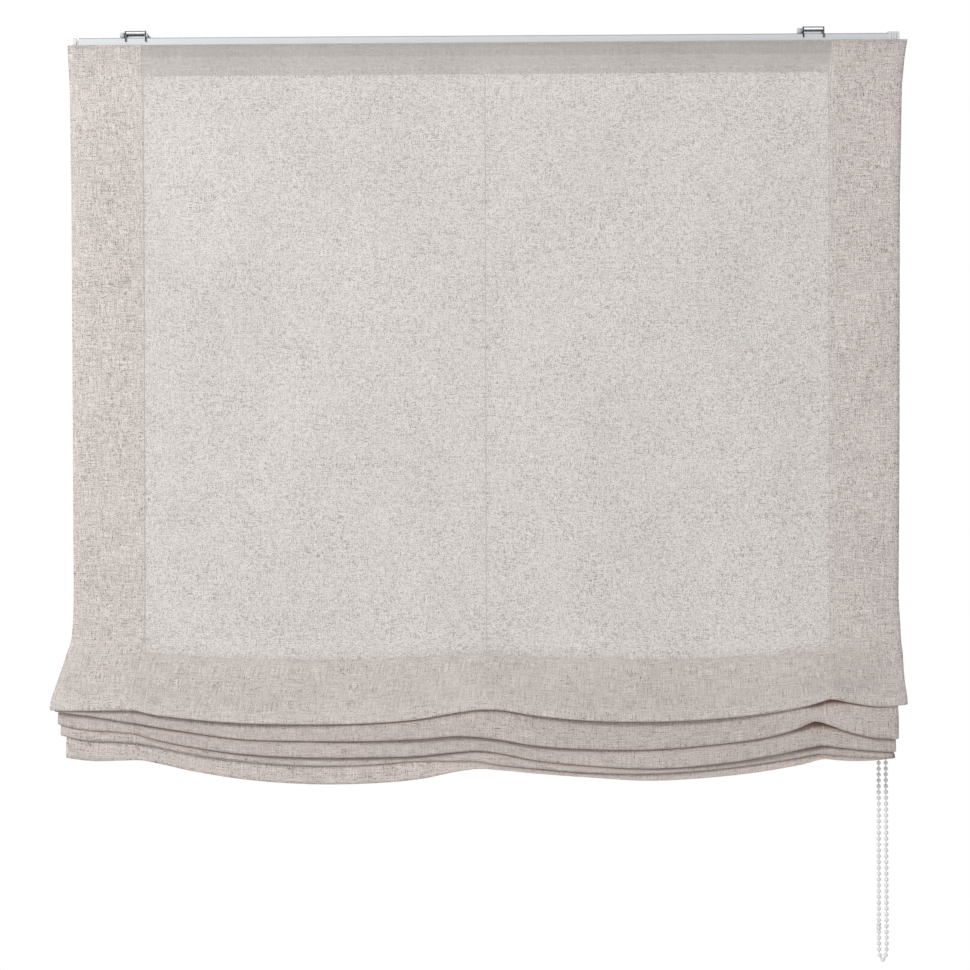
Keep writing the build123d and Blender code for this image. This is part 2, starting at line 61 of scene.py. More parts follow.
# Studio: a pale floor far below the blind, one soft lamp high on the left in front, weak ones
# low in front and behind, and an even sky that the camera and the metal see as white.
camera = bpy.data.objects.new("camera", bpy.data.cameras.new("camera"))
scene.collection.objects.link(camera)
camera.data.sensor_width = 36
camera.data.lens = 72.3
camera_turn = radians(0.95)
camera_roll = radians(-0.16)
camera_reach = 2.0
aim = Vector((10.5 * MM, -20.5 * MM, -469.3 * MM))
camera.matrix_world = (
    Matrix.Translation(aim)
    @ Matrix.Rotation(camera_turn, 4, "Z")
    @ Matrix.Translation((0, -camera_reach, 0))
    @ Matrix.Rotation(pi / 2, 4, "X")
    @ Matrix.Rotation(camera_roll, 4, "Z")
)
scene.camera = camera


def lamp(name, place, size, watts):
    """A square soft lamp that faces the middle of the blind."""
    made = bpy.data.objects.new(name, bpy.data.lights.new(name, "AREA"))
    scene.collection.objects.link(made)
    made.data.size = size
    made.data.energy = watts
    made.location = place
    made.rotation_euler = (aim - made.location).to_track_quat("-Z", "Y").to_euler()


lamp("soft_lamp_left", Vector((-1.7, -2.2, 0.9)), 0.9, 57)
lamp("soft_lamp_front", Vector((0.3, -3.0, -0.7)), 1.8, 14)
lamp("soft_lamp_back", Vector((0.9, 2.8, 0.2)), 1.5, 26)


def add(tree, kind, settings=None, **sockets):
    """A shader node with its sockets set.

    A socket is named with _ for each space, or i0, i1 for its place, and takes a value or a link.
    """
    made = tree.nodes.new("ShaderNode" + kind)
    for key, value in (settings or {}).items():
        setattr(made, key, value)
    for key, value in sockets.items():
        place = int(key[1:]) if key[0] == "i" and key[1:].isdigit() else key.replace("_", " ")
        if isinstance(value, bpy.types.NodeSocket):
            tree.links.new(value, made.inputs[place])
        else:
            made.inputs[place].default_value = value
    return made


sky = bpy.data.worlds.new("sky")
scene.world = sky
sky.use_nodes = True
sky_tree = sky.node_tree
sky_tree.nodes.clear()
sky_light, sky_seen = 0.40, 1.0
rays = add(sky_tree, "LightPath").outputs
seen = rays["Is Camera Ray"]
for ray in ("Is Glossy Ray", "Is Transmission Ray"):
    seen = add(sky_tree, "Math", {"operation": "MAXIMUM"}, i0=seen, i1=rays[ray]).outputs[0]
sky_level = add(sky_tree, "MapRange", Value=seen, To_Min=sky_light, To_Max=sky_seen).outputs[0]
sky_glow = add(sky_tree, "Background", Color=(1, 1, 1, 1), Strength=sky_level).outputs[0]
add(sky_tree, "OutputWorld", Surface=sky_glow)


def mesh_object(name, points, faces, material, smooth=True):
    """A mesh piece from points in millimetres."""
    mesh = bpy.data.meshes.new(name)
    mesh.from_pydata((np.asarray(points, float) * MM).tolist(), [], faces)
    mesh.polygons.foreach_set("use_smooth", [smooth] * len(mesh.polygons))
    mesh.materials.append(material)
    made = bpy.data.objects.new(name, mesh)
    scene.collection.objects.link(made)
    return made


def new_group(name, inputs, outputs):
    """A shader node group with named sockets, returned with its input sockets and its output node."""
    group = bpy.data.node_groups.new(name, "ShaderNodeTree")
    for direction, sockets in (("INPUT", inputs), ("OUTPUT", outputs)):
        for label, kind in sockets.items():
            group.interface.new_socket(label, in_out=direction, socket_type="NodeSocket" + kind)
    return group, group.nodes.new("NodeGroupInput").outputs, group.nodes.new("NodeGroupOutput")


# The grain that every plain surface has: broad blotches of handling and fine grain,
# stretched along the way that the part was drawn or brushed.
grain, takes, gives = new_group(
    "surface_grain",
    {
        "Colour": "Color",
        "Worn Colour": "Color",
        "Stretch": "Vector",
        "Grain": "Float",
        "Roughness": "Float",
    },
    {"Colour": "Color", "Roughness": "Float", "Height": "Float"},
)
where = add(grain, "TexCoord").outputs["Object"]
spread = add(grain, "VectorMath", {"operation": "MULTIPLY"}, i0=where, i1=takes["Stretch"]).outputs[0]
blotch = add(grain, "TexNoise", Vector=spread, Scale=45.0, Detail=4.0).outputs["Fac"]
fine = add(grain, "TexNoise", Vector=spread, Scale=2400.0, Detail=2.0).outputs["Fac"]
worn = add(grain, "MapRange", Value=blotch, From_Min=0.48, From_Max=0.78, To_Max=0.6).outputs[0]
speck = add(grain, "MapRange", Value=fine, From_Min=0.3, From_Max=0.7, To_Max=takes["Grain"]).outputs[0]
worn = add(grain, "Math", {"operation": "ADD", "use_clamp": True}, i0=worn, i1=speck).outputs[0]
shade = add(grain, "Mix", {"data_type": "RGBA"}, i0=worn, i6=takes["Colour"], i7=takes["Worn Colour"])
rough = add(grain, "MapRange", Value=blotch, From_Min=0.3, From_Max=0.7, To_Min=-0.05, To_Max=0.09)
rough = add(grain, "Math", {"use_clamp": True}, i0=rough.outputs[0], i1=takes["Roughness"]).outputs[0]
height = add(grain, "Math", {"operation": "MULTIPLY"}, i0=fine, i1=takes["Grain"]).outputs[0]
grain.links.new(shade.outputs[2], gives.inputs["Colour"])
grain.links.new(rough, gives.inputs["Roughness"])
grain.links.new(height, gives.inputs["Height"])


def plain_finish(
    name, colour, worn_colour, roughness, stretch=(1, 1, 1), fine_grain=0.25, metallic=0.0, coat=0.0
):
    """A moulded, lacquered or plated surface with its grain and wear."""
    made = bpy.data.materials.new(name)
    made.use_nodes = True
    tree = made.node_tree
    tree.nodes.clear()
    worn_look = add(
        tree,
        "Group",
        {"node_tree": grain},
        Colour=(*colour, 1),
        Worn_Colour=(*worn_colour, 1),
        Stretch=stretch,
        Grain=fine_grain,
        Roughness=roughness,
    ).outputs
    bump = add(tree, "Bump", Height=worn_look["Height"], Strength=0.3, Distance=0.0002).outputs[0]
    shader = add(
        tree,
        "BsdfPrincipled",
        Base_Color=worn_look["Colour"],
        Roughness=worn_look["Roughness"],
        Normal=bump,
        Metallic=metallic,
        Coat_Weight=coat,
    ).outputs[0]
    add(tree, "OutputMaterial", Surface=shader)
    return made


# The floor fades to white for the camera well beyond the blind, so that it has no far edge.
floor_half, floor_level = 4200, -2200
fade_from, fade_to = 2.6, 4.2
floor_finish = plain_finish("pale_floor", (0.86, 0.86, 0.86), (0.83, 0.83, 0.83), 0.7, fine_grain=0.05)
tree = floor_finish.node_tree
shader = tree.nodes["Principled BSDF"].outputs[0]
floor_place = add(tree, "TexCoord").outputs["Object"]
from_middle = add(tree, "VectorMath", {"operation": "LENGTH"}, i0=floor_place).outputs["Value"]
faded = add(tree, "MapRange", Value=from_middle, From_Min=fade_from, From_Max=fade_to).outputs[0]
white = add(tree, "Emission", Color=(1, 1, 1, 1), Strength=1.0).outputs[0]
by_camera = add(tree, "LightPath").outputs["Is Camera Ray"]
to_white = add(tree, "Math", {"operation": "MULTIPLY"}, i0=faded, i1=by_camera).outputs[0]
blended = add(tree, "MixShader", Fac=to_white, i1=shader, i2=white).outputs[0]
tree.links.new(blended, tree.nodes["Material Output"].inputs["Surface"])
floor_corners = [
    (x * floor_half, y * floor_half, floor_level) for x, y in ((-1, -1), (1, -1), (1, 1), (-1, 1))
]
floor = mesh_object("floor", floor_corners, [(0, 1, 2, 3)], floor_finish)


# Headrail: extruded aluminium in satin white lacquer, with a grooved top and an open mouth below.
# Its left end is closed by a moulded cap, and its right end by the drive unit with its grip ridges.
lacquer = plain_finish(
    "white_lacquer",
    (0.61, 0.63, 0.65),
    (0.53, 0.55, 0.565),
    0.35,
    stretch=(0.03, 1, 1),
    fine_grain=0.15,
    coat=0.3,
)
# A thin darker line is painted along the rail's top edge: painted shade on its lip.
edge_starts, edge_full = -0.0083, -0.0074
painted_edge_shade = (0.24, 0.26, 0.28, 1)
tree = lacquer.node_tree
shader = tree.nodes["Principled BSDF"]
body_colour = shader.inputs["Base Color"].links[0].from_socket
level_up = add(tree, "SeparateXYZ", Vector=add(tree, "TexCoord").outputs["Object"]).outputs["Z"]
painted_edge_mask = add(tree, "MapRange", Value=level_up, From_Min=edge_starts, From_Max=edge_full).outputs[0]
with_painted_edge = add(tree, "Mix", {"data_type": "RGBA"}, i0=painted_edge_mask, i6=body_colour, i7=painted_edge_shade)
tree.links.new(with_painted_edge.outputs[2], shader.inputs["Base Color"])
moulded_white = plain_finish(
    "moulded_white", (0.70, 0.71, 0.72), (0.58, 0.59, 0.60), 0.45, fine_grain=0.2
)


def dress(material, *nodes):
    """CAD nodes that keep their shape take a finish."""
    for name in nodes:
        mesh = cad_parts[name].data
        mesh.materials.clear()
        mesh.materials.append(material)


dress(lacquer, "headrail")
dress(moulded_white, "end_cap", "drive_unit")
# A thin plate closes the top of the drive unit.
cover_xs, cover_ys, cover_zs = (424.4, 436.3), (-17.5, 17.5), (-7.2, -5.5)
cover_box = [(x, y, z) for x in cover_xs for y in cover_ys for z in cover_zs]
box_faces = [(0, 1, 3, 2), (4, 6, 7, 5), (0, 4, 5, 1), (2, 3, 7, 6), (0, 2, 6, 4), (1, 5, 7, 3)]
drive_cover = mesh_object("drive_cover", cover_box, box_faces, moulded_white, smooth=False)
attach(drive_cover, "blind")

# Brackets: bright zinc-plated strip with a rolled front edge, and a moulded lever with a cam
# that turns on a rivet and locks the bracket in the rail's groove.
edges, takes, gives = new_group(
    "painted_shade_and_reflection",
    {"Face Colour": "Color", "Edge Colour": "Color", "Half Width": "Float", "Middle": "Float"},
    {"Colour": "Color"},
)
# A face takes the painted dark colour along both sides and the top, and where it looks sideways, up or
# down: painted dark reflection on the edges and painted shade in the slot under the lip.
spot = add(edges, "SeparateXYZ", Vector=add(edges, "TexCoord").outputs["Object"]).outputs
from_centre = add(edges, "Math", {"operation": "ABSOLUTE"}, i0=spot["X"]).outputs[0]
from_centre = add(edges, "Math", {"operation": "SUBTRACT"}, i0=from_centre, i1=takes["Middle"]).outputs[0]
from_centre = add(edges, "Math", {"operation": "ABSOLUTE"}, i0=from_centre).outputs[0]
inside = add(edges, "Math", {"operation": "SUBTRACT"}, i0=takes["Half Width"], i1=from_centre).outputs[0]
side_line = add(edges, "MapRange", Value=inside, From_Min=0.0016, From_Max=0.0009).outputs[0]
top_line = add(edges, "MapRange", Value=spot["Z"], From_Min=-0.0014, From_Max=-0.0008).outputs[0]
aim_of_face = add(edges, "SeparateXYZ", Vector=add(edges, "TexCoord").outputs["Normal"]).outputs
sideways = add(edges, "Math", {"operation": "ABSOLUTE"}, i0=aim_of_face["X"]).outputs[0]
upright = add(edges, "Math", {"operation": "ABSOLUTE"}, i0=aim_of_face["Z"]).outputs[0]
painted_dark_mask = add(edges, "Math", {"operation": "MAXIMUM"}, i0=sideways, i1=upright).outputs[0]
painted_dark_mask = add(edges, "MapRange", Value=painted_dark_mask, From_Min=0.55, From_Max=0.85).outputs[0]
for line in (side_line, top_line):
    painted_dark_mask = add(edges, "Math", {"operation": "MAXIMUM"}, i0=painted_dark_mask, i1=line).outputs[0]
face_colour, painted_dark_colour = takes["Face Colour"], takes["Edge Colour"]
painted_dark_mix = add(edges, "Mix", {"data_type": "RGBA"}, i0=painted_dark_mask, i6=face_colour, i7=painted_dark_colour)
edges.links.new(painted_dark_mix.outputs[2], gives.inputs["Colour"])


def paint_shade_and_reflection(material, painted_dark_colour, middle, half_width):
    """The cut edges and the faces that look up or down are painted dark: a painted reflection of a dark
    room, and painted shade under the lip.
    """
    tree = material.node_tree
    shader = tree.nodes["Principled BSDF"]
    face_colour = shader.inputs["Base Color"].links[0].from_socket
    toned = add(
        tree,
        "Group",
        {"node_tree": edges},
        Face_Colour=face_colour,
        Edge_Colour=(*painted_dark_colour, 1),
        Middle=middle * MM,
        Half_Width=half_width * MM,
    )
    tree.links.new(toned.outputs["Colour"], shader.inputs["Base Color"])


zinc = plain_finish(
    "bright_zinc",
    (0.66, 0.67, 0.69),
    (0.46, 0.47, 0.49),
    0.22,
    stretch=(0.15, 1, 1),
    fine_grain=0.2,
    metallic=1.0,
)
bracket_middle, bracket_half, lever_half = 348.5, 11, 100
# Painted dark reflection and painted shade on the zinc and the lever: their edges and the faces that look
# up or down take a near-black or dark grey colour.
paint_shade_and_reflection(zinc, (0.02, 0.02, 0.025), bracket_middle, bracket_half)
lever_grey = plain_finish(
    "lever_grey", (0.50, 0.51, 0.52), (0.40, 0.41, 0.42), 0.3, fine_grain=0.15, coat=0.3
)
paint_shade_and_reflection(lever_grey, (0.10, 0.10, 0.11), bracket_middle, lever_half)
dress(zinc, "bracket_left", "bracket_right", "rivet_left", "rivet_right")
dress(lever_grey, "lever_left", "lever_right")


def turned(profile, sides):
    """Points and faces of a shape turned about Z from (radius, height) pairs, closed at both ends."""
    points = []
    for radius, height in profile:
        for i in range(sides):
            angle = 2 * pi * i / sides
            points.append((radius * cos(angle), radius * sin(angle), height))
    faces = []
    for ring in range(len(profile) - 1):
        for i in range(sides):
            low, high = ring * sides, (ring + 1) * sides
            faces.append((low + i, low + (i + 1) % sides, high + (i + 1) % sides, high + i))
    faces.append(tuple(range(sides - 1, -1, -1)))
    faces.append(tuple(range(len(points) - sides, len(points))))
    return points, faces


def repeated(name, shape, places, material):
    """One mesh with a copy of a shape at each place, a matrix in millimetres."""
    points, faces = shape
    corners = np.c_[np.array(points, float), np.ones(len(points))]
    all_points = [corners @ np.array(place).T for place in places]
    firsts = [n * len(points) for n in range(len(places))]
    all_faces = [tuple(i + first for i in face) for first in firsts for face in faces]
    return mesh_object(name, np.vstack(all_points)[:, :3], all_faces, material)


# The lever's rounded end shows beside each bracket's front lip.
end_profile = [(2.2, 0), (3.0, 0.5), (3.0, 4.4), (2.2, 4.9)]
end_xs, end_y, end_z = (-365.0, 332.2), -15.0, -4.2
lying_down = Matrix.Rotation(pi / 2, 4, "Y")
end_spots = [Matrix.Translation((x, end_y, end_z)) @ lying_down for x in end_xs]
end_grey = plain_finish("end_grey", (0.52, 0.53, 0.55), (0.34, 0.35, 0.36), 0.3, fine_grain=0.3)
bracket_ends = repeated("bracket_ends", turned(end_profile, 24), end_spots, end_grey)
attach(bracket_ends, "blind")

# Drive: a square steel shaft, white moulded spools in cradles that clip into the rail's mouth,
# and the sprocket that the chain turns.
shaft_steel = plain_finish(
    "shaft_steel",
    (0.5, 0.5, 0.5),
    (0.32, 0.31, 0.3),
    0.35,
    stretch=(0.04, 1, 1),
    fine_grain=0.3,
    metallic=1.0,
)
spool_white = plain_finish("spool_white", (0.68, 0.68, 0.66), (0.57, 0.56, 0.54), 0.42, fine_grain=0.2)
sides = ("left", "centre", "right")
dress(shaft_steel, "drive_shaft")
dress(spool_white, "sprocket", *[f"spool_{side}" for side in sides])
dress(moulded_white, *[f"cradle_{side}" for side in sides])

# Bead chain: an endless polyester cord with white beads moulded on it every 6 mm.
# It runs over the sprocket and turns a quarter on its way down to the joiner.
sprocket_x, sprocket_y, sprocket_z, sprocket_radius = 421.5, -3.8, -26, 9.549
chain_drop, half_spread, bead_pitch = 934, 3.85, 6
chain_lean, lean_drop = 2.2, 500
thread_radius, end_gap = 0.6, 1
joiner_share = 0.48
white_cord = plain_finish("white_cord", (0.78, 0.78, 0.77), (0.62, 0.61, 0.6), 0.8, fine_grain=0.5)
bead_white = plain_finish(
    "bead_white", (0.80, 0.80, 0.79), (0.72, 0.72, 0.71), 0.32, fine_grain=0.1, coat=0.2
)
clear_white = plain_finish(
    "clear_white", (0.74, 0.75, 0.75), (0.66, 0.66, 0.66), 0.25, fine_grain=0.1, coat=0.4
)
# The front strand's way from the top of the sprocket to the chain's lowest point
front_way = [
    (0, -0.5, -sprocket_radius),
    (0, -sprocket_radius, -sprocket_radius),
    (0, -sprocket_radius, -0.5),
    (0, -sprocket_radius, 0.06 * chain_drop),
    (0.20 * half_spread, -0.86 * sprocket_radius, 0.18 * chain_drop),
    (0.62 * half_spread, -0.52 * sprocket_radius, 0.40 * chain_drop),
    (0.92 * half_spread, -0.20 * sprocket_radius, 0.62 * chain_drop),
    (1.00 * half_spread, -0.04 * sprocket_radius, 0.84 * chain_drop),
    (1.03 * half_spread, 0, 0.965 * chain_drop),
    (1.00 * half_spread, 0, chain_drop),
]
route = []
for side, way in ((-1, front_way), (1, front_way[::-1])):
    for x, y, drop in way:
        lean = chain_lean * min(max(drop, 0) / lean_drop, 1)
        route.append((sprocket_x + side * x - lean, sprocket_y - side * y, sprocket_z - drop))
thread_line = bpy.data.curves.new("chain_thread", "CURVE")
thread_line.dimensions = "3D"
spline = thread_line.splines.new("NURBS")
spline.points.add(len(route) - 1)
for point, (x, y, z) in zip(spline.points, route):
    point.co = (x * MM, y * MM, z * MM, 1)
spline.order_u = 3
spline.use_endpoint_u = True
spline.resolution_u = 24
chain_thread = bpy.data.objects.new("chain_thread", thread_line)
scene.collection.objects.link(chain_thread)
bpy.context.view_layer.update()
traced = bpy.data.meshes.new_from_object(chain_thread)
thread_points = np.array([v.co for v in traced.vertices], float) / MM
thread_runs = np.linalg.norm(np.diff(thread_points, axis=0), axis=1)
thread_at = np.r_[0, np.cumsum(thread_runs)]
thread_length = thread_at[-1]
thread_line.bevel_depth = thread_radius * MM
thread_line.bevel_resolution = 2
thread_line.materials.append(white_cord)


def on_thread(distance):
    """The place and the direction at a distance along the chain's cord, as a matrix."""
    spot = [np.interp(distance, thread_at, thread_points[:, k]) for k in range(3)]
    ahead = [np.interp(distance + 1, thread_at, thread_points[:, k]) for k in range(3)]
    behind = [np.interp(distance - 1, thread_at, thread_points[:, k]) for k in range(3)]
    facing = (Vector(ahead) - Vector(behind)).to_track_quat("Z", "Y")
    return Matrix.Translation(spot) @ facing.to_matrix().to_4x4()


bead_count = round((thread_length + end_gap) / bead_pitch)
bead_step = (thread_length + end_gap) / bead_count
bead_spots = [on_thread((i + 0.5) * bead_step - end_gap / 2) for i in range(bead_count)]
joiner_spot = bead_spots.pop(round(bead_count * joiner_share))
bead_profile = [(0.75, -2.2), (1.5, -1.8), (2.1, -1.0), (2.32, 0), (2.1, 1.0), (1.5, 1.8), (0.75, 2.2)]
beads = repeated("beads", turned(bead_profile, 12), bead_spots, bead_white)
joiner_profile = [
    (0.8, -3.6),
    (1.7, -3.6),
    (2.35, -3.0),
    (2.45, -2.0),
    (2.2, -1.0),
    (1.7, -0.45),
    (1.7, 0.45),
    (2.2, 1.0),
    (2.45, 2.0),
    (2.35, 3.0),
    (1.7, 3.6),
    (0.8, 3.6),
]
joiner = repeated("joiner", turned(joiner_profile, 20), [joiner_spot], clear_white)
for piece, node in ((chain_thread, "chain_cord"), (beads, "chain_beads"), (joiner, "chain_joiner")):
    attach(piece, "blind")
    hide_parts(node)
print("chain", round(thread_length), "mm", bead_count, "beads")

# Hook-and-loop tape: the hook strip is stuck along the rail's front and the loop strip is sewn
# behind the cloth's top edge, so the cloth peels off for washing.
hook_tape = plain_finish("hook_tape", (0.76, 0.75, 0.73), (0.6, 0.59, 0.57), 0.85, fine_grain=0.8)
loop_tape = plain_finish("loop_tape", (0.8, 0.79, 0.77), (0.66, 0.65, 0.63), 0.95, fine_grain=0.9)
tape_front, tape_thick, tape_top, tape_bottom = -17.5, 1.2, -15.4, -28
tape_left, tape_right = -408, 431
for name, finish, node in (("hooks", hook_tape, "hook_strip"), ("loops", loop_tape, "loop_strip")):
    box = [
        (x, y, z)
        for x in (tape_left, tape_right)
        for y in (tape_front - tape_thick, tape_front)
        for z in (tape_bottom, tape_top)
    ]
    tape = mesh_object(name, box, box_faces, finish, smooth=False)
    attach(tape, "blind")
    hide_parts(node)
    tape_front -= tape_thick

# Cloth: sheer linen, 1.0 m wide before its side hems were turned in and stitched.
# It falls flat from the rail, and below the fourth ring row it hangs in four soft folds.
blind_x = 11.5
half_width = 428
seam_at = 353
single = 0.6
hem_bottom = 22
cloth_top, cloth_tilt = 14.7, 0.0009
cloth_back = -19.9
# Where the cloth is gathered at the rings, and how far each fold stands out in front of them
gather_drop, gather_step, gather_sag, tack = 627.5, 15.5, 7.0, 2.0
fold_out = (56, 51.5, 47.5, 44, 41)
waver, waver_length = 0.03, 71
nose, tuck, bend_in = 5.0, 3.4, 1.5
overlap, least_face = 1, 2
pocket_depth, pocket_at, pocket_width = (0, 8, 8, 3, 2), (0, 352, 347, 350, 350), 17
# Drop of each fold's lower edge and of the hem, from the left edge to the right one
fold_edges = np.array(
    [
        (-428, 693.4, 694.8, 708.7, 720.0, 743.5),
        (-400, 693.6, 698.3, 714.2, 725.4, 746.7),
        (-372, 693.2, 703.2, 716.1, 726.0, 746.2),
        (-353, 693.4, 706.7, 718.4, 727.9, 746.1),
        (-335, 697.1, 710.0, 723.5, 731.1, 749.2),
        (-300, 701.2, 715.3, 730.3, 737.9, 756.5),
        (-240, 706.5, 723.5, 738.6, 746.3, 765.8),
        (-176, 708.1, 725.3, 742.0, 751.0, 770.2),
        (-112, 707.3, 725.2, 742.1, 750.5, 769.4),
        (-56, 702.6, 723.0, 740.5, 746.6, 764.3),
        (-20, 696.3, 720.2, 736.9, 746.6, 757.2),
        (0, 693.7, 721.1, 735.7, 746.9, 754.7),
        (20, 693.5, 723.5, 737.9, 750.2, 755.8),
        (56, 699.1, 729.5, 745.0, 753.6, 759.2),
        (112, 704.3, 733.6, 750.6, 757.8, 763.4),
        (176, 705.4, 734.1, 753.5, 758.9, 767.0),
        (240, 702.6, 729.3, 749.3, 755.2, 763.7),
        (300, 695.6, 720.5, 740.6, 748.2, 756.6),
        (322, 691.6, 714.6, 736.1, 744.9, 752.7),
        (333, 689.1, 710.1, 733.8, 742.9, 750.7),
        (341, 686.7, 706.2, 732.2, 741.5, 748.6),
        (353, 683.4, 707.4, 730.1, 739.4, 745.4),
        (372, 686.4, 713.9, 732.0, 741.0, 746.5),
        (400, 690.3, 720.9, 735.1, 742.9, 746.9),
        (428, 688.3, 723.0, 736.7, 743.7, 744.1),
    ]
)


def smooth_between(x, xs, values):
    """A smooth curve through the values at xs."""
    slopes = np.gradient(values, xs)
    i = int(np.clip(np.searchsorted(xs, x) - 1, 0, len(xs) - 2))
    step = xs[i + 1] - xs[i]
    t = (x - xs[i]) / step
    a = 2 * t**3 - 3 * t**2 + 1
    b = t**3 - 2 * t**2 + t
    c = 3 * t**2 - 2 * t**3
    d = t**3 - t**2
    return a * values[i] + b * step * slopes[i] + c * values[i + 1] + d * step * slopes[i + 1]


def bay(x):
    """0 at a lift cord and outside the outer ones, 1 midway between two cords."""
    share = min(abs(x) / seam_at, 1)
    return 4 * share * (1 - share)


def rounded(corners, reach, corner_count, run_count):
    """Points along a polyline with each corner rounded, always as many of them."""
    corners = np.array(corners, float)
    points = [corners[0]]
    last = corners[0]
    for i in range(1, len(corners) - 1):
        into, away = corners[i] - corners[i - 1], corners[i + 1] - corners[i]
        into_length, away_length = np.linalg.norm(into), np.linalg.norm(away)
        cut = min(reach[i - 1], 0.48 * into_length, 0.48 * away_length)
        start = corners[i] - into / into_length * cut
        end = corners[i] + away / away_length * cut
        for k in range(1, run_count[i - 1] + 1):
            points.append(last + (start - last) * k / run_count[i - 1])
        for k in range(1, corner_count[i - 1] + 1):
            t = k / corner_count[i - 1]
            points.append((1 - t) ** 2 * start + 2 * t * (1 - t) * corners[i] + t**2 * end)
        last = end
    for k in range(1, run_count[-1] + 1):
        points.append(last + (corners[-1] - last) * k / run_count[-1])
    return np.array(points)


def edge_drops(x):
    """Drops of the four folds' lower edges and of the hem at one place across the cloth."""
    return [smooth_between(x, fold_edges[:, 0], fold_edges[:, k]) for k in range(1, 6)]


def pocket(x, k):
    """How far the fold behind lies open below the gathered spot over the right lift cord."""
    return pocket_depth[k] * np.exp(-(((x - pocket_at[k]) / pocket_width) ** 2))


# The first fold bends at these shares of its reach and its fall. Each list then gives, for the
# first fold, for a fold below it and for a fold's lower edge, how wide each corner is rounded,
# and how many steps its corners and the runs between them are drawn in.
flap_bends = ((0.20, 0.17), (0.56, 0.57), (0.93, 0.84))
return_out, return_up = 0.5, 0.23
flap_reach, fold_reach, edge_reach = [30, 12, 20, 14, 2.4, 2.4, 14], [1.6, 1.6, 2.0, 9], [2.4, 2.4]
flap_corners, fold_corners, edge_corners = [6, 3, 5, 4, 4, 4, 4], [3, 3, 3, 5], [4, 4]
flap_runs, fold_runs, edge_runs = [64, 2, 3, 2, 2, 1, 2], [5, 1, 1, 4], [2, 1]
hem_run = 3


def cloth_column(x):
    """The cloth's back at one place across it, as (out from the flat cloth, drop) down to the hem."""
    lows = edge_drops(x)
    gathers = [gather_drop + gather_step * i + gather_sag * bay(x) for i in range(5)]
    outs = [out * (1 + waver * sin(x / waver_length + 2 * k)) for k, out in enumerate(fold_out)]
    start = gathers[0] + tack
    fall = lows[0] - start
    out = outs[0]
    corners = [(0, cloth_top - cloth_tilt * x), (0, start)]
    corners += [(out_share * out, start + fall_share * fall) for out_share, fall_share in flap_bends]
    corners += [(out, lows[0]), (out - nose, lows[0]), (return_out * out, lows[0] - return_up * fall)]
    reach, corner_count, run_count = list(flap_reach), list(flap_corners), list(flap_runs)
    for k in range(1, 5):
        face = lows[k] - lows[k - 1] - overlap - pocket(x, k)
        bend = lows[k] - max(face, least_face)
        corners += [(tuck, gathers[k] - tack), (0, gathers[k] - tack), (0, gathers[k] + tack)]
        corners += [(outs[k] - bend_in, bend), (outs[k], lows[k])]
        reach += fold_reach
        corner_count += fold_corners
        run_count += fold_runs
        if k < 4:
            corners.append((outs[k] - nose, lows[k]))
            reach += edge_reach
            corner_count += edge_corners
            run_count += edge_runs
    run_count.append(hem_run)
    return rounded(corners, reach, corner_count, run_count)


ripple_top, ripple_grows = 45, 80
ripple_end, ripple_fades = 620, 90
cord_hold = 45
belly, swell_height = 1.8, 2.4


def ripple(x, drop):
    """How far the flat cloth bellies forward, away from the rail, the cords and the folds."""
    calm = min(max((drop - ripple_top) / ripple_grows, 0), 1)
    calm *= min(max((ripple_end - drop) / ripple_fades, 0), 1)
    cord = min(abs(abs(x) - seam_at), abs(x))
    calm *= 1 - np.exp(-((cord / cord_hold) ** 2))
    swell = noise.noise(Vector((x / 130, drop / 420, 0.3)))
    swell += 0.4 * noise.noise(Vector((x / 48, drop / 260, 4.1)))
    return calm * (belly + swell_height * swell)


# How far each side edge is drawn in at these drops, and what share of its width each fold
# loses, from its return leg to its front. Rows count the points down one column of cloth.
draw_drops = (12, 30, 64, 175, 400, 586, 640, 700)
left_draw = (-2.0, -1.4, 0.6, 2.2, 3.0, 3.1, 0.6, 0)
right_draw = (-4.9, -1.7, 1.5, 4.0, 4.8, 6.4, 2.5, 0)
first_return = 1 + sum(flap_corners + flap_runs)
return_rows = sum(fold_corners + fold_runs + edge_corners + edge_runs)
narrow_rows = [first_return + return_rows * k + step for k in range(4) for step in (0, 14)]
narrow_left = (0, 0.0097, 0.0097, 0.0137, 0.0137, 0.0187, 0.0187, 0.031)
narrow_right = (0, 0.021, 0.021, 0.0246, 0.0246, 0.0293, 0.0293, 0.025)
tuck_share, tuck_until = 0.04, 40
# The folds have slipped to the left, and less so at the left lift cord
slip_from, slip_over = 600, 110
slip, slip_change = -8.25, 0.75
hold_at, hold, hold_width = (600, 720, 800), (0, 8.5, 3), 40
# The side edges curl back, the seams pull the cloth thin, and folded cloth looks nearly double, taking
# the hem's painted warmth too
curl, curl_width = 2.4, 6
seam_dent = 0.35
ripple_rows = 80
two_ply_from, two_ply_over, near_two_ply = 629, 12, 0.9
# Painted shade in the crease under a fold's lower edge: how high it is, how far out it starts, and how
# dark
crease_gap, crease_height = 0.5, 3.5
crease_from, crease_over = 34, 6
painted_crease_shade, painted_pocket_shade, pocket_full, painted_fold_shade = 0.75, 0.25, 5, 0.11
seam_columns = [seam_at + step for step in (-6, -2.5, -1.0, -0.3, 0.4, 1.2, 2.6, 4.5, 8)]
columns = [seam_at + step for step in (16, 26, 36, 46, 56, 66, 72, 74, 74.7)] + [half_width]
columns += seam_columns + [3, 6, 12] + list(np.arange(20, seam_at - 10, 7.5))
columns = sorted([-x for x in columns] + [0.0] + columns)
profile = np.mean([cloth_column(x) for x in (-240, -176, -60, 60, 176, 240)], axis=0)
place_down = np.r_[0, np.cumsum(np.linalg.norm(np.diff(profile, axis=0), axis=1))]
cloth_length = place_down[-1]
rows = len(profile)
row_numbers = np.arange(rows)
front, back, layers, painted_shades = [], [], [], []
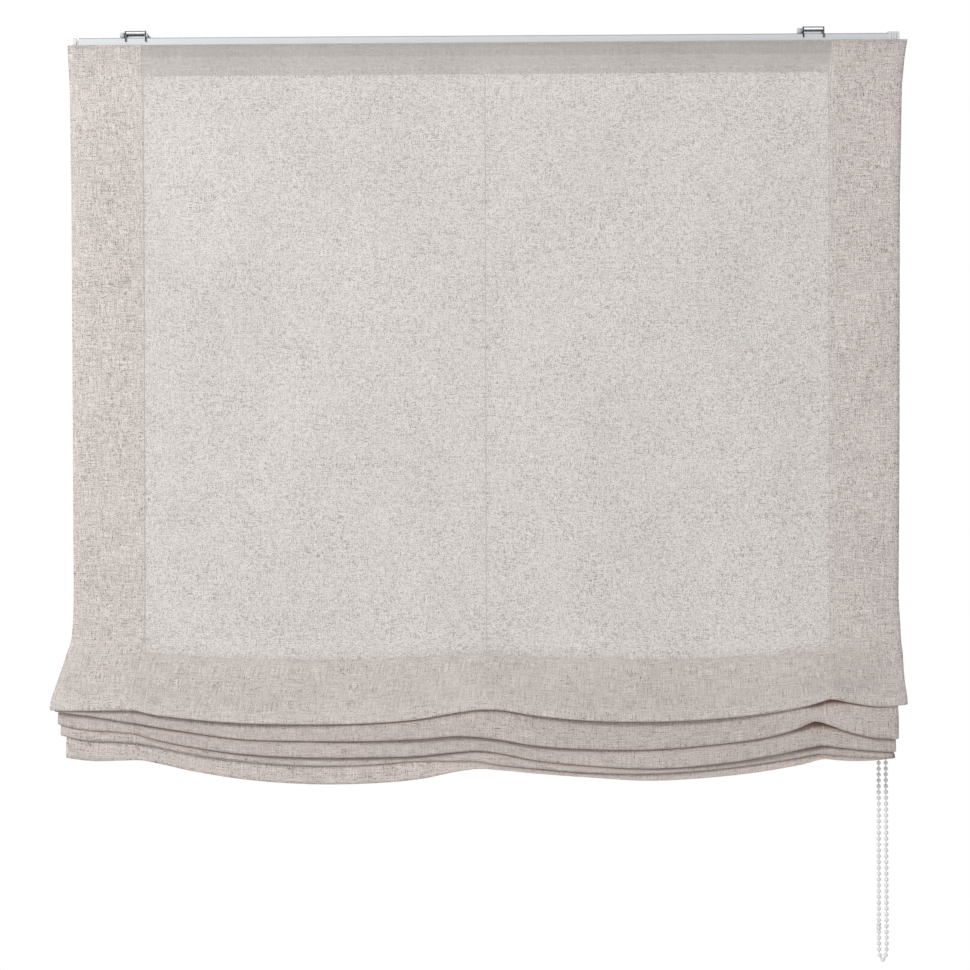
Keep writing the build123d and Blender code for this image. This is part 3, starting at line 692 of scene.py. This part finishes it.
for x in columns:
    shape = cloth_column(x)
    out, drop = shape[:, 0], shape[:, 1]
    draw = np.interp(drop, draw_drops, left_draw if x < 0 else right_draw)
    slipped = np.clip((place_down - slip_from) / slip_over, 0, 1)
    slipped = slipped * slipped * (3 - 2 * slipped)
    held = np.interp(place_down, hold_at, hold) * np.exp(-(((x + seam_at) / hold_width) ** 2))
    drift = slip + slip_change * x / half_width + held
    narrowed = np.interp(row_numbers, narrow_rows, narrow_left if x < 0 else narrow_right)
    tucked = tuck_share * np.clip(1 - out / tuck_until, 0, 1) * (row_numbers >= first_return)
    across = x - np.sign(x) * draw * abs(x / half_width) ** 3
    across = across + drift * slipped - x * (narrowed + tucked)
    edge_curl = curl * max((abs(x) - half_width + curl_width) / curl_width, 0) ** 2
    swells = [ripple(x, d) if d < ripple_end and i < ripple_rows else 0 for i, d in enumerate(drop)]
    rippled = out + swells
    along = np.gradient(np.c_[-rippled, -drop], axis=0)
    along /= np.linalg.norm(along, axis=1)[:, None]
    facing = np.c_[along[:, 1], -along[:, 0]]
    in_hem = abs(x) > seam_at
    thick = np.where(in_hem | (place_down > cloth_length - hem_bottom), 2 * single, single)
    if 0.5 < abs(x) - seam_at < 2:
        thick = thick - seam_dent
    flat = np.c_[cloth_back - rippled + edge_curl, -drop]
    proud = flat + facing * thick[:, None]
    back.append(np.c_[across + blind_x, flat])
    front.append(np.c_[across + blind_x, proud])
    folded_over = np.clip((place_down - two_ply_from) / two_ply_over, 0, near_two_ply)
    layers.append(np.where(thick > single, 1.0, folded_over))
    # Painted shade: just under each fold's lower edge the cloth is tinted towards a dark brown, more so
    # where a pocket opens, and every row of the folds gets a faint painted shade
    depth = np.zeros(rows)
    for k, low_edge in enumerate(edge_drops(x)[:4]):
        first = first_return + return_rows * k
        open_by = pocket(x, k + 1)
        below = np.clip(1 - (drop[first:] - low_edge - crease_gap) / (crease_height + open_by), 0, 1)
        outer = np.clip((out[first:] - crease_from) / crease_over, 0, 1)
        shade = painted_crease_shade + painted_pocket_shade * min(open_by / pocket_full, 1)
        depth[first:] = np.maximum(outer * below * shade, painted_fold_shade)
    painted_shades.append(depth)
front, back, layers, painted_shades = np.array(front), np.array(back), np.array(layers), np.array(painted_shades)

# The cloth's mesh: its front and back, its top and bottom edges, and a rim down each side
column_count = len(columns)
points = np.concatenate([front, back], axis=1).reshape(-1, 3)
faces = []
for c in range(column_count - 1):
    here, there = c * 2 * rows, (c + 1) * 2 * rows
    for r in range(rows - 1):
        faces.append((here + r, here + r + 1, there + r + 1, there + r))
        faces.append((here + rows + r, there + rows + r, there + rows + r + 1, here + rows + r + 1))
    faces.append((here, there, there + rows, here + rows))
    faces.append((here + rows - 1, here + 2 * rows - 1, there + 2 * rows - 1, there + rows - 1))
last = (column_count - 1) * 2 * rows
rim = []
for c, side in ((0, -1), (column_count - 1, 1)):
    middle = (front[c] + back[c]) / 2 + [side * 0.5, 0, 0]
    base = len(points) + len(rim) * rows
    rim.append(middle)
    first = c * 2 * rows
    for r in range(rows - 1):
        strip = [(first + r, base + r, base + r + 1, first + r + 1)]
        strip.append((base + r, first + rows + r, first + rows + r + 1, base + r + 1))
        faces += [face if side < 0 else face[::-1] for face in strip]
    for r in (0, rows - 1):
        end = (first + r, first + rows + r, base + r)
        faces.append(end if (side < 0) == (r == 0) else end[::-1])
points = np.vstack([points, *rim])
places = [(x, down, 0) for x in columns for _ in range(2) for down in place_down]
places += [(x, down, 0) for x in (columns[0], columns[-1]) for down in place_down]
plies = np.concatenate([np.concatenate([layers, layers], axis=1).ravel(), layers[0], layers[-1]])
shades = np.concatenate([np.concatenate([painted_shades, painted_shades], axis=1).ravel(), painted_shades[0], painted_shades[-1]])

# The weave: thin uneven threads both ways, short brown slubs, and gaps that let light through.
# A hem is two layers, so it is denser than the single cloth; its pinker tone is painted warmth of light
# bounced between the layers.
weave, takes, gives = new_group(
    "linen_weave",
    {
        "Place": "Vector",
        "Layers": "Float",
        "Depth": "Float",
        "Thread": "Color",
        "Dense Thread": "Color",
        "Deep Thread": "Color",
        "Slub": "Color",
    },
    {"Colour": "Color", "Alpha": "Float", "Height": "Float"},
)


def streaks(stretch, detail=2.0):
    """Noise over the cloth, stretched along one way of the weave."""
    place = takes["Place"]
    spread = add(weave, "VectorMath", {"operation": "MULTIPLY"}, i0=place, i1=stretch).outputs[0]
    return add(weave, "TexNoise", Vector=spread, Scale=1.0, Detail=detail, Roughness=0.6).outputs["Fac"]


def sum_of(a, b, operation="ADD", clamp=False):
    """Two masks added, or put together in another way."""
    return add(weave, "Math", {"operation": operation, "use_clamp": clamp}, i0=a, i1=b).outputs[0]


def ramp(value, low, high, to_low=0.0, to_high=1.0):
    """A mask between two levels of a value."""
    return add(
        weave, "MapRange", Value=value, From_Min=low, From_Max=high, To_Min=to_low, To_Max=to_high
    ).outputs[0]


# Threads that run across and down, and the short slubs and specks on them
weft = streaks((0.05, 1.5, 1), 1.0)
warp = streaks((1.5, 0.05, 1), 1.0)
grains = sum_of(streaks((1.6, 1.6, 3), 0.0), 0.4, "MULTIPLY")
threads = ramp(sum_of(sum_of(weft, warp), grains), 0.88, 1.52)
busy = ramp(streaks((0.022, 0.026, 1)), 0.34, 0.6)
lying = sum_of(streaks((0.13, 1.2, 5), 0.0), streaks((0.2, 0.95, 31), 0.0), "MAXIMUM")
standing = sum_of(streaks((1.2, 0.13, 9), 0.0), streaks((0.95, 0.2, 37), 0.0), "MAXIMUM")
short_slubs = ramp(sum_of(lying, standing, "MAXIMUM"), 0.69, 0.80)
specks = ramp(streaks((0.9, 0.9, 14), 0.0), 0.64, 0.74)
slubs = sum_of(sum_of(short_slubs, ramp(busy, 0, 1, 0.45, 1), "MULTIPLY"), specks, "MAXIMUM")
cloudy = ramp(streaks((0.009, 0.006, 1)), 0.35, 0.65)

# The yarn's colour by layers and by the painted crease shade, lighter and darker from thread to thread,
# then slubs
yarn = takes["Thread"]
for share, colour in (("Layers", "Dense Thread"), ("Depth", "Deep Thread")):
    yarn = add(weave, "Mix", {"data_type": "RGBA"}, i0=takes[share], i6=yarn, i7=takes[colour]).outputs[2]
uneven = sum_of(sum_of(threads, -0.5), ramp(takes["Layers"], 0, 1, -0.28, -0.68), "MULTIPLY")
level = sum_of(sum_of(uneven, sum_of(cloudy, -0.07, "MULTIPLY")), 1.08)
lit = add(weave, "VectorMath", {"operation": "SCALE"}, i0=yarn, Scale=level).outputs[0]
cover = sum_of(slubs, ramp(takes["Layers"], 0, 1, 0.62, 0.84), "MULTIPLY")
tinted = add(weave, "Mix", {"data_type": "RGBA"}, i0=cover, i6=lit, i7=takes["Slub"])

# How closed the cloth is: a slub fills the gaps between the threads
closed = sum_of(ramp(takes["Layers"], 0, 1, 0.56, 0.80), ramp(threads, 0, 1, -0.02, 0.02))
closed = sum_of(closed, sum_of(slubs, 0.8, "MULTIPLY"), clamp=True)
weave.links.new(tinted.outputs[2], gives.inputs["Colour"])
weave.links.new(closed, gives.inputs["Alpha"])
weave.links.new(sum_of(threads, slubs), gives.inputs["Height"])

linen = bpy.data.materials.new("linen")
linen.use_nodes = True
tree = linen.node_tree
tree.nodes.clear()
woven = add(
    tree,
    "Group",
    {"node_tree": weave},
    Place=add(tree, "Attribute", {"attribute_name": "place"}).outputs["Vector"],
    Layers=add(tree, "Attribute", {"attribute_name": "layers"}).outputs["Fac"],
    Depth=add(tree, "Attribute", {"attribute_name": "depth"}).outputs["Fac"],
    Thread=(0.67, 0.63, 0.60, 1),
    # A touch warmer than the thread: painted warmth of light bounced in doubled and folded cloth
    Dense_Thread=(0.67, 0.615, 0.585, 1),
    # The dark brown of the painted shade in the creases under the folds
    Deep_Thread=(0.25, 0.075, 0.032, 1),
    Slub=(0.15, 0.10, 0.08, 1),
).outputs
bump = add(tree, "Bump", Height=woven["Height"], Strength=0.35, Distance=0.0003).outputs[0]
shader = add(
    tree,
    "BsdfPrincipled",
    Base_Color=woven["Colour"],
    Alpha=woven["Alpha"],
    Normal=bump,
    Roughness=0.92,
    Sheen_Weight=0.12,
    Sheen_Roughness=0.5,
).outputs[0]
add(tree, "OutputMaterial", Surface=shader)

cloth = mesh_object("cloth", points, faces, linen)
cloth.data.attributes.new("place", "FLOAT_VECTOR", "POINT").data.foreach_set("vector", np.ravel(places))
cloth.data.attributes.new("layers", "FLOAT", "POINT").data.foreach_set("value", plies)
cloth.data.attributes.new("depth", "FLOAT", "POINT").data.foreach_set("value", shades)

# Seam stitches: polyester thread in running stitches that hold each side hem, a little inside
# its fold. They are sewn through the cloth.
thread_white = plain_finish("sewing_thread", (0.72, 0.66, 0.62), (0.55, 0.49, 0.45), 0.8, fine_grain=0.4)
stitch_profile = [(0.12, -1.3), (0.24, -1.0), (0.28, 0), (0.24, 1.0), (0.12, 1.3)]
stitch_pitch, stitch_margin, seam_inset = 3.6, 3, 1.2
stitch_spots = []
for seam in (-seam_at - seam_inset, seam_at + seam_inset):
    line = front[columns.index(min(columns, key=lambda x: abs(x - seam)))]
    at = np.r_[0, np.cumsum(np.linalg.norm(np.diff(line, axis=0), axis=1))]
    for distance in np.arange(stitch_margin, at[-1] - stitch_margin, stitch_pitch):
        spot = Vector([np.interp(distance, at, line[:, k]) for k in range(3)])
        ahead = Vector([np.interp(distance + 1, at, line[:, k]) for k in range(3)])
        behind = Vector([np.interp(distance - 1, at, line[:, k]) for k in range(3)])
        facing = (ahead - behind).to_track_quat("Z", "Y").to_matrix().to_4x4()
        stitch_spots.append(Matrix.Translation(spot) @ facing)
stitches = repeated("seam_stitches", turned(stitch_profile, 6), stitch_spots, thread_white)

for piece in (cloth, stitches):
    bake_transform(piece)
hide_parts("fabric")
print("cloth", round(cloth_length), "mm long,", len(faces), "faces")

# Rings: white moulded rings that the lift cords run through, each tied to the cloth by two
# turns of thread. Three rows ride in the flat cloth, and five are gathered on the stops.
cord_xs = [blind_x + step for step in (-seam_at, 0, seam_at)]
ring_radius, ring_wire, ring_gap = 5.8, 1.2, 0.1
ring_y = cloth_back + ring_gap + (ring_radius + ring_wire)
loose_pitch = 150
tie_radius, tie_wire, tie_step, tie_set = 2.1, 0.22, 0.3, 0.6
ring_white = plain_finish(
    "ring_white", (0.76, 0.76, 0.74), (0.66, 0.65, 0.63), 0.25, fine_grain=0.08, coat=0.4
)


def hoop(radius, wire, steps, sides):
    """Points and faces of a ring that lies flat."""
    points, faces = [], []
    for i in range(steps):
        for k in range(sides):
            turn, angle = 2 * pi * i / steps, 2 * pi * k / sides
            reach = radius + wire * cos(angle)
            points.append((reach * cos(turn), reach * sin(turn), wire * sin(angle)))
            a, b = i * sides + k, i * sides + (k + 1) % sides
            c, d = (i + 1) % steps * sides + (k + 1) % sides, (i + 1) % steps * sides + k
            faces.append((a, d, c, b))
    return points, faces


ring_drops = [gather_drop - loose_pitch * i for i in (3, 2, 1)]
ring_drops += [gather_drop + gather_step * i for i in range(5)]
for number, drop in enumerate(ring_drops, start=1):
    body = f"row_{number}" if number < 4 else "stack"
    spots = [Matrix.Translation((x, ring_y, -drop)) for x in cord_xs]
    rings = repeated(f"rings_{number}", hoop(ring_radius, ring_wire, 36, 12), spots, ring_white)
    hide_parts(f"ring_row_{number}")
    tie_spots = []
    for x in cord_xs:
        for step in (-tie_step, tie_step):
            tie_spots.append(Matrix.Translation((x + step, cloth_back + tie_set, -drop)) @ lying_down)
    ties = repeated(f"ring_ties_{number}", hoop(tie_radius, tie_wire, 20, 6), tie_spots, thread_white)
    for piece in (rings, ties):
        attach(piece, body)

# Lift cords: white braid wound on the spool, then straight down through the rings into a stop.
# The winding turns with the spool.
axis_z = sprocket_z
cord_radius = 0.7
spool_radius, wound_turns, winding_pitch, turn_steps = 9, 5, 1.45, 32
stop_depth = 9
stop_top = -(ring_drops[-1] + ring_wire + ring_gap)
cord_end = stop_top - stop_depth


def tube(name, path, radius, sides, material, squeeze=None):
    """A mesh tube along points in millimetres. squeeze gives each ring's share of the radius, by side."""
    path = [Vector(point) for point in path]
    points, faces = [], []
    up = Vector((0, 0, 1))
    for i, point in enumerate(path):
        along = (path[min(i + 1, len(path) - 1)] - path[max(i - 1, 0)]).normalized()
        across = along.cross(up)
        if across.length < 0.1:
            across = along.cross(Vector((1, 0, 0)))
        across.normalize()
        over = across.cross(along)
        for k in range(sides):
            angle = 2 * pi * k / sides
            reach = radius * (squeeze(i, angle) if squeeze else 1)
            points.append(point + across * (reach * cos(angle)) + over * (reach * sin(angle)))
    for i in range(len(path) - 1):
        for k in range(sides):
            a, b = i * sides + k, i * sides + (k + 1) % sides
            faces.append((a, b, b + sides, a + sides))
    faces.append(tuple(range(sides)))
    faces.append(tuple(range(len(points) - 1, len(points) - sides - 1, -1)))
    return mesh_object(name, points, faces, material)


def braid(i, angle):
    """The share of its radius that a braided cord has at one side of one ring."""
    return 0.94 + 0.06 * cos(2 * angle + i * pi / 2)


for side, x in zip(sides, cord_xs):
    drop_path = [(x, ring_y, axis_z - step) for step in np.arange(0, axis_z - cord_end, 1.6)]
    drop_path.append((x, ring_y, cord_end))
    hanging = tube(f"cord_drop_{side}", drop_path, cord_radius, 8, white_cord, squeeze=braid)
    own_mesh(hanging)
    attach(hanging, "blind")
    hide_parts(f"lift_cord_{side}")
    winding_path = []
    for i in range(turn_steps * wound_turns + 1):
        turn = 2 * pi * i / turn_steps
        wound_x = x - winding_pitch * turn / (2 * pi)
        wound_y = sprocket_y - spool_radius * cos(turn)
        winding_path.append((wound_x, wound_y, axis_z + spool_radius * sin(turn)))
    winding = tube(f"cord_winding_{side}", winding_path, cord_radius, 8, white_cord)
    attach(winding, "drive")
dress(clear_white, *[f"cord_stop_{side}" for side in sides])
